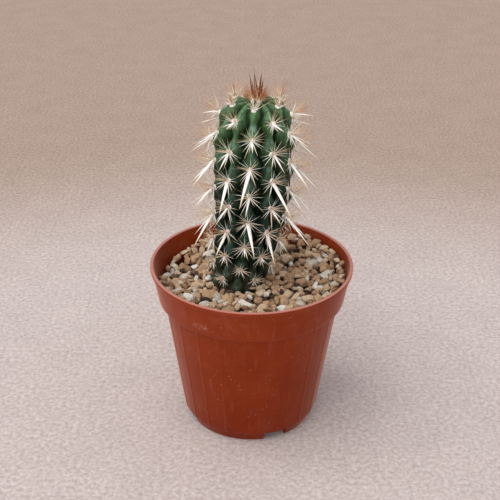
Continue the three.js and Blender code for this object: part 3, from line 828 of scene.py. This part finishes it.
# %% The areoles as arrays
LAST_AREOLE, YOUNG_TO = 87.0, 6.0
starts = FIRST_AREOLE + np.where(np.arange(RIBS) % 2 == 0, PITCH_DOWN / 2, 0)
down_each = [np.arange(start, LAST_AREOLE, PITCH_DOWN) for start in starts]
rib_number = np.repeat(np.arange(RIBS), [len(down) for down in down_each])
distance_down = np.concatenate(down_each)
areole_row = np.round((distance_down - FIRST_AREOLE) / (PITCH_DOWN / 2)).astype(int)
radius, height, out_part, up_part = on_outline(distance_down)
angle = np.radians(RIB_TURN + rib_number * 360 / RIBS)
sideways = np.stack([np.sin(angle), -np.cos(angle), 0 * angle], axis=1)
zenith = np.array([0, 0, 1.0])
out = sideways * out_part[:, None] + zenith * up_part[:, None]
up = -sideways * up_part[:, None] + zenith * out_part[:, None]
across = np.cross(up, out)
swollen = radius + 0.65 * np.clip(distance_down / 9, 0, 1) * out_part
areole = np.stack([swollen * sideways[:, 0] + stem_middle(height),
                   swollen * sideways[:, 1] + STEM_FOOT[1], height], axis=1)
age = np.clip((distance_down - 4) / 20, 0, 1)
youngest = distance_down < YOUNG_TO
areole = areole + youngest[:, None] * (zenith * 0.4 - sideways * 1.7)
print(len(areole), "areoles, the lowest at", round(float(areole[:, 2].min()), 1), "mm")

# %% [markdown]
# ## Wool
# An areole is a pad of felt: white and plump when young, flatter and tan with age. A pad is a low mound
# with a ragged surface, and forty short hairs stand on it. Wool has no gloss: its roughness is 0.95, and a
# soft sheen stands for the fine ends of the fibres.


# %% A material for wool and for the spines
def plant_fibre(name, root, middle, tip, rough, sheen, streaks):
    """Colour runs along the piece from root over middle to tip by its attribute 'along', and is mixed towards
    the tip's colour by its attribute 'young'; streaks is the scale of a fine mottle."""
    made, tree, place = new_material(name)
    along_it = add_node(tree, "Attribute", {"attribute_name": "along"})
    shift = add_node(tree, "Attribute", {"attribute_name": "young"})
    grown_out = three_colours(tree, (along_it, "Fac"), root, middle, tip, 0.55)
    bleached = add_node(tree, "Mix", RGBA, {
        "Factor_Float": (shift, "Fac"), "A_Color": grown_out, "B_Color": linear(tip)})
    grain = add_node(tree, "TexNoise", {}, {"Vector": place, "Scale": streaks, "Detail": 3.0})
    worn = add_node(tree, "MapRange", {}, {"Value": grain, "To Min": 0.88, "To Max": 1.08})
    colour = add_node(tree, "VectorMath", {"operation": "SCALE"}, {"Vector": bleached, "Scale": worn})
    shade = add_node(tree, "BsdfPrincipled", {}, {
        "Base Color": colour, "Roughness": rough, "IOR": 1.5, "Sheen Weight": sheen, "Sheen Roughness": 0.6})
    add_node(tree, "OutputMaterial", {}, {"Surface": shade})
    print("Material", name, "has", len(tree.nodes), "nodes")
    return made


wool = plant_fibre("areole_wool_felted", "#f6eee2", "#fffaf2", "#cfae8c", 0.95, 0.4, 1200.0)
white_spine = plant_fibre("spine_bone_white", "#fffdfa", "#fcf8f0", "#dcc193", 0.45, 0.0, 900.0)
tan_spine = plant_fibre("spine_horn_tan", "#fcf5e6", "#efd3a8", "#c98a4e", 0.5, 0.0, 900.0)
red_spine = plant_fibre("spine_horn_red", "#8a3a22", "#63200f", "#3f140c", 0.45, 0.0, 900.0)
brown_spine = plant_fibre("spine_horn_brown", "#edc99c", "#cf8f58", "#98572f", 0.45, 0.0, 900.0)


# %% Spines as ovals carried along curves
def spines(name, base, way, bend, length, width, flat, material, young,
           wide=None, sides=5, rings=6, taper=1.8, reach=1.0):
    """The middle of a spine is base + way L t + bend L t^2 for t from 0 to 1. The oval across it is width
    across its wide direction and flat times that the other way, and narrows as 1 - t ** taper. The colour
    runs from that of the root to the share called reach of the way to that of the tip."""
    count = len(base)
    t = np.linspace(0, 1, rings)
    run = (length[:, None] * t)[..., None]
    line = base[:, None] + way[:, None] * run + bend[:, None] * run * t[None, :, None]
    wide = np.cross(way, zenith + 0.01) if wide is None else wide
    wide = wide - way * np.einsum("ij,ij->i", wide, way)[:, None]
    wide = wide / np.linalg.norm(wide, axis=1, keepdims=True)
    thick = np.cross(way, wide)
    turn = np.linspace(0, 2 * np.pi, sides, endpoint=False)
    narrowing = (0.04 + 0.96 * (1 - t ** taper))[None, :, None, None] * (width / 2)[:, None, None, None]
    ring = (np.cos(turn)[None, None, :, None] * wide[:, None, None]
            + flat * np.sin(turn)[None, None, :, None] * thick[:, None, None])
    points = line[:, :, None] + ring * narrowing
    tube = grid_faces(rings, sides)
    ends = np.stack([np.arange(sides)[::-1], (rings - 1) * sides + np.arange(sides)])
    faces = [copied(tube, count, rings * sides), copied(ends, count, rings * sides)]
    along_it = np.broadcast_to(reach * t[None, :, None], (count, rings, sides))
    youth = np.broadcast_to(young[:, None, None], (count, rings, sides))
    add_piece(name, points * MM, faces, material, {"along": along_it, "young": youth})


def unit(vectors):
    """Vectors made one long."""
    return vectors / np.linalg.norm(vectors, axis=-1, keepdims=True)


def lying(which, around):
    """Directions along the skin, at an angle round the areole that is counted from up the rib."""
    return up[which] * np.cos(around)[:, None] + across[which] * np.sin(around)[:, None]


def aimed(which, around, rise):
    """The same directions, lifted off the skin by the angle rise."""
    return lying(which, around) * np.cos(rise)[:, None] + out[which] * np.sin(rise)[:, None]


def between(low, high, which):
    """A random number from low to high for each areole in the list."""
    return draw.uniform(low, high, len(which))


def astray(which, strength):
    """A random vector for each areole in the list."""
    return draw.normal(size=(len(which), 3)) * strength


# %% Wool pads and their hairs
directions, mound_faces = ball(3)
tanned = np.clip((distance_down - 48) / 26, 0, 1)
mounds = worn_stones(directions, len(areole), cuts=16, wear=5.0, spread=0.45)
pad_size = np.stack([1.5 - 0.2 * tanned, 1.4 - 0.15 * tanned, 1.5 - 0.4 * tanned], axis=1)
mounds = mounds * pad_size[:, None]
pads = (areole[:, None] + mounds[..., :1] * across[:, None] + mounds[..., 1:2] * up[:, None]
        + mounds[..., 2:] * out[:, None])
add_piece("areole_wool", pads * MM, copied(mound_faces, len(areole), len(directions)), wool,
          {"along": np.full(pads.shape[:2], 0.3), "young": np.repeat(0.75 * tanned, len(directions))})

HAIRS = 40
which = np.repeat(np.arange(len(areole)), HAIRS)
tilt = astray(which, 0.75)
hair_way = unit(out[which] + tilt[:, :1] * across[which] + tilt[:, 1:2] * up[which])
spines("areole_hairs", areole[which] + hair_way * 0.5, hair_way, astray(which, 0.35),
       between(0.7, 1.5, which), np.full(len(which), 0.1), 1.0, wool, tanned[which],
       sides=3, rings=3, reach=0.55)

# %% [markdown]
# ## Spines
# A grown areole carries four kinds. The central dagger is bone white and flattened like a blade of grass,
# points out and down, and is long and short by turns along a rib. A thin dagger stands on either side of it.
# Star spines lie close to the skin all round, the lower ones stouter than the upper ones. Fourteen hair-thin
# horn-coloured ones stand up and out above the dagger. At the growing point young spines stand upright and
# red-brown, and bleach as they move down with the years. All are ovals carried along slightly bent lines.

# %% Central daggers
DAGGERS_FROM, DAGGERS_TO = 12.0, 75.0
grown = np.flatnonzero((distance_down > DAGGERS_FROM) & (distance_down < DAGGERS_TO))
down = distance_down[grown]
long_turn = ((rib_number + areole_row // 2) % 2 == 0)[grown]
size = np.clip((down - 8) / 14, 0.45, 1) * np.clip((82 - down) / 24, 0.35, 1)
long_length = between(12, 16, grown)
short_length = between(6.0, 8.5, grown) + 5 * sideways[grown, 0] ** 2
length = np.where(long_turn, long_length, short_length) * size
swing = np.radians(between(-24, 24, grown))
droop = np.radians(between(36, 50, grown)) * np.clip(down / 26, 0.3, 1)
dagger_way = out[grown] * np.cos(droop)[:, None] - lying(grown, swing) * np.sin(droop)[:, None]
spines("central_daggers", areole[grown] + out[grown] * 0.9, dagger_way, -up[grown] * 0.05, length,
       np.where(long_turn, 1.6, 1.05) * (0.6 + 0.4 * size), 0.4, white_spine, np.zeros(len(grown)),
       wide=across[grown], sides=8, rings=10, taper=1.7)

# %% Thin daggers, two beside each central one
which = np.repeat(grown, 2)
turned = np.tile(np.radians([-38, 38]), len(grown)) + draw.normal(size=len(which)) * 0.2
slope = np.radians(between(30, 55, which))
thin_way = out[which] * np.cos(slope)[:, None] - lying(which, turned) * np.sin(slope)[:, None]
thin_length = between(6.0, 11.0, which) * np.repeat(size, 2)
spines("thin_daggers", areole[which] + out[which] * 0.8, thin_way, -up[which] * 0.04, thin_length,
       between(0.32, 0.5, which), 0.6, white_spine, between(0, 0.35, which), sides=6, rings=7)

# %% Star spines
STAR = 13
starred = np.flatnonzero(~youngest)
which = np.repeat(starred, STAR)
around = np.tile(np.arange(STAR) * 2 * np.pi / STAR, len(starred)) + draw.normal(size=len(which)) * 0.12
below = (1 - np.cos(around)) / 2
star_age = age[which]
rise = np.radians(between(10, 27, which) + (1 - star_age) * 35)
star_way = aimed(which, around, rise)
star_length = (between(5.0, 7.4, which) - 1.5 * below ** 3) * (0.5 + 0.5 * star_age)
star_length = star_length * np.clip((96 - distance_down[which]) / 24, 0.6, 1)
spines("star_spines", areole[which] + out[which] * 0.5 + star_way * 0.6, star_way, -out[which] * 0.03,
       star_length, 0.21 + 0.17 * below ** 2, 0.8, white_spine,
       np.clip((1 - below) * 0.1 + 0.2 * tanned[which], 0, 1), sides=5, rings=5)

# %% Upper horn-coloured spines
UPPER = 14
which = np.repeat(starred, UPPER)
fan = np.radians(np.linspace(-88, 88, UPPER))
around = np.tile(fan, len(starred)) + draw.normal(size=len(which)) * 0.25
upper_way = aimed(which, around, np.radians(between(30, 75, which)))
upper_length = between(5.0, 10.5, which) * np.clip((92 - distance_down[which]) / 30, 0.5, 1)
spines("upper_spines", areole[which] + upper_way * 0.5, upper_way, out[which] * 0.05, upper_length,
       between(0.13, 0.22, which), 0.8, tan_spine, between(0, 0.6, which), sides=5, rings=5)

# %% The tuft at the growing point
young = np.flatnonzero(youngest)
tuft_way = unit(zenith + 0.1 * sideways[young] + astray(young, 0.1))
tuft_base = areole[young] - sideways[young] * 1.0 + zenith * 0.3
spines("crown_spines", tuft_base, tuft_way, astray(young, 0.03), between(6.0, 12.5, young),
       between(0.35, 1.15, young), 0.7, red_spine, between(0, 0.3, young), sides=6, rings=8)

TUFT = 24
which = np.repeat(young, TUFT)
ring_way = unit(zenith * 0.85 + sideways[which] * 0.4 + astray(which, 0.32))
crown_base = areole[which] - sideways[which] * 0.5 + astray(which, np.array([0.8, 0.8, 0.2]))
spines("crown_tuft", crown_base, ring_way, astray(which, 0.08), between(3.0, 7.5, which),
       between(0.22, 0.36, which), 0.8, brown_spine, between(0.0, 0.6, which), sides=5, rings=5)

# %% Spines of the shoulder, brown ones outwards and a white one upwards
SHOULDER_TO, RAISED_TO, BROWN = 18.0, 12.0, 3
turned_away = ~youngest & ((np.abs(sideways[:, 0]) > 0.6) | (sideways[:, 1] > 0.3))
which = np.repeat(np.flatnonzero(turned_away & (distance_down < SHOULDER_TO)), BROWN)
brow_way = unit(out[which] + zenith * 0.2 + astray(which, 0.2))
spines("shoulder_spines", areole[which] + out[which] * 0.4, brow_way, astray(which, 0.05),
       between(4.5, 8.5, which), between(0.34, 0.5, which), 0.7, brown_spine, between(0, 0.8, which),
       sides=5, rings=6)
raised = np.flatnonzero(turned_away & (distance_down < RAISED_TO))
lift_way = unit(zenith + 0.25 * sideways[raised] + astray(raised, 0.12))
spines("shoulder_daggers", areole[raised] + out[raised] * 0.4, lift_way, 0 * lift_way,
       between(4.0, 7.5, raised), between(0.5, 0.8, raised), 0.5, white_spine, np.zeros(len(raised)),
       sides=6, rings=7)

# %% [markdown]
# ## The studio
# A pale felt lies flat under the pot, and the light is soft: a wide patch of bright sky high on the left, a
# white reflector in front and a pale room all round. The felt is stage, not part of the plant.

# %% The felt floor
felt, tree, place = new_material("wool_felt_pressed")
broad = add_node(tree, "TexNoise", {}, {"Vector": place, "Scale": 45.0, "Detail": 4.0})
tufts = add_node(tree, "TexNoise", {}, {"Vector": place, "Scale": 520.0, "Detail": 8.0, "Roughness": 0.75})
fibres = add_node(tree, "MapRange", {}, {"Value": tufts, "From Min": 0.36, "From Max": 0.64})
# The felt is painted paler in a round patch in front of the pot, a painted pool of light, and browner beyond
# it, as painted shade.
where = add_node(tree, "VectorMath", {"operation": "DISTANCE"}, {
    "Vector": place, "Vector_001": (0, -0.2, 0)})
far = add_node(tree, "MapRange", SMOOTH, {"Value": (where, "Value"), "From Min": 0.31, "From Max": 0.52})
felt_in_painted_light = add_node(tree, "Mix", RGBA, {
    "Factor_Float": fibres, "A_Color": linear("#af9e99"), "B_Color": linear("#d6ccc8")})
felt_in_painted_shade = add_node(tree, "Mix", RGBA, {
    "Factor_Float": fibres, "A_Color": linear("#917c6f"), "B_Color": linear("#bca79a")})
mix = add_node(tree, "Mix", RGBA, {"Factor_Float": far, "A_Color": felt_in_painted_light, "B_Color": felt_in_painted_shade})
wide_mix = add_node(tree, "MapRange", {}, {"Value": broad, "To Min": 0.9, "To Max": 1.1})
colour = add_node(tree, "VectorMath", {"operation": "SCALE"}, {"Vector": mix, "Scale": wide_mix})
nap = add_node(tree, "Bump", {}, {"Height": fibres, "Strength": 0.35, "Distance": 0.0006})
shade = add_node(tree, "BsdfPrincipled", {}, {
    "Base Color": colour, "Roughness": 1.0, "Specular IOR Level": 0.1, "Normal": nap})
add_node(tree, "OutputMaterial", {}, {"Surface": shade})
print("Material", felt.name, "has", len(tree.nodes), "nodes")

FELT_HALF = 3.0
corners = FELT_HALF * np.array([(-1, -1, 0), (1, -1, 0), (1, 1, 0), (-1, 1, 0)])
floor_mesh = bpy.data.meshes.new("felt_floor")
floor_mesh.from_pydata(corners.tolist(), [], [(0, 1, 2, 3)])
floor_mesh.materials.append(felt)
floor = bpy.data.objects.new("felt_floor", floor_mesh)
bpy.context.collection.objects.link(floor)
floor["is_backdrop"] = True

# %% Lights
def add_light(name, kind, energy, towards, stands=(0, 0, 0)):
    """Adds a light that shines from the direction towards, and returns its settings."""
    data = bpy.data.lights.new(name, kind)
    data.energy = energy
    side_way = unit(np.cross(zenith, towards))
    lamp = bpy.data.objects.new(name, data)
    lamp.matrix_world = placed(side_way, np.cross(towards, side_way), towards, stands)
    bpy.context.collection.objects.link(lamp)
    return data


window = add_light("soft_window", "SUN", 1.5, unit(np.array([-0.6, -0.22, 1.15])))
window.angle = np.radians(55)
window.color = (1.0, 0.98, 0.955)

REFLECTOR_AT, AIMED_AT = np.array([-0.45, -1.4, 0.75]), np.array([0, 0, 0.08])
reflector = add_light("front_reflector", "AREA", 7.2, unit(REFLECTOR_AT - AIMED_AT), REFLECTOR_AT)
reflector.shape = "RECTANGLE"
reflector.size = 1.2
reflector.size_y = 0.8

world = bpy.data.worlds.new("pale_room")
bpy.context.scene.world = world
world.use_nodes = True
background = world.node_tree.nodes["Background"]
background.inputs["Color"].default_value = linear("#f4f4f7")
background.inputs["Strength"].default_value = 0.8
print("The lights are", [light.name for light in bpy.data.lights])

# %% Note the sizes and finish
low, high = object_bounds()
low, high = np.array(low) / MM, np.array(high) / MM
print("The visual box in mm runs from", np.round(low, 1), "to", np.round(high, 1))
